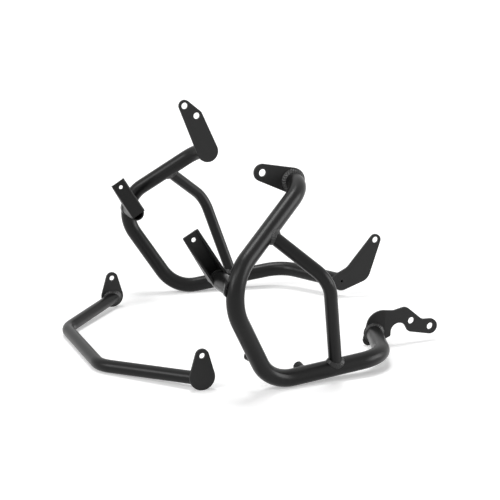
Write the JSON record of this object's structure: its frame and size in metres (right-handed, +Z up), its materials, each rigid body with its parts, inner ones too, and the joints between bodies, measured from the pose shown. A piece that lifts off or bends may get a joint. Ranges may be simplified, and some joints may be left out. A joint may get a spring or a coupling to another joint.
{
  "type": "engine guard",
  "caption": "Motorbike engine guard set of bent steel tube: left and right hoops with braces, welded mounting plates and channel brackets, and a cross bar that ties them.",
  "frame": {"origin": "middle of the base of the set's box, on the floor", "axes": "+X towards the motorbike's rear wheel, +Y towards its right side, +Z up"},
  "size_m": [0.5796, 0.6416, 0.3496],
  "materials": {
    "tube_coat": "satin black powder coat on steel tube",
    "plate_coat": "satin black powder coat on steel plate",
    "bracket_coat": "satin black powder coat on folded sheet",
    "boss_coat": "satin black powder coat on turned boss",
    "weld_coat": "powder coated weld bead"
  },
  "bodies": {
    "root": {"bar_plate_left": "plate_coat", "bar_plate_right": "plate_coat", "bar_tube": "tube_coat", "bar_weld_left": "weld_coat", "bar_weld_right": "weld_coat", "left_boss_lower": "boss_coat", "left_boss_upper": "boss_coat", "left_brace_tube": "tube_coat", "left_channel_bracket": "bracket_coat", "left_hoop_tube": "tube_coat", "left_lower_plate": "plate_coat", "left_stub_tube": "tube_coat", "left_upper_plate": "plate_coat", "left_weld_boss_lower": "weld_coat", "left_weld_boss_upper": "weld_coat", "left_weld_brace_foot": "weld_coat", "left_weld_brace_top": "weld_coat", "left_weld_bracket": "weld_coat", "left_weld_lower_plate": "weld_coat", "left_weld_stub": "weld_coat", "left_weld_upper_plate": "weld_coat", "right_brace_tube": "tube_coat", "right_channel_bracket": "bracket_coat", "right_hoop_tube": "tube_coat", "right_lower_plate": "plate_coat", "right_stub_tube": "tube_coat", "right_upper_plate": "plate_coat", "right_weld_brace_foot": "weld_coat", "right_weld_brace_top": "weld_coat", "right_weld_bracket": "weld_coat", "right_weld_lower_plate": "weld_coat", "right_weld_stub": "weld_coat", "right_weld_upper_plate": "weld_coat"}
  },
  "joints": []
}
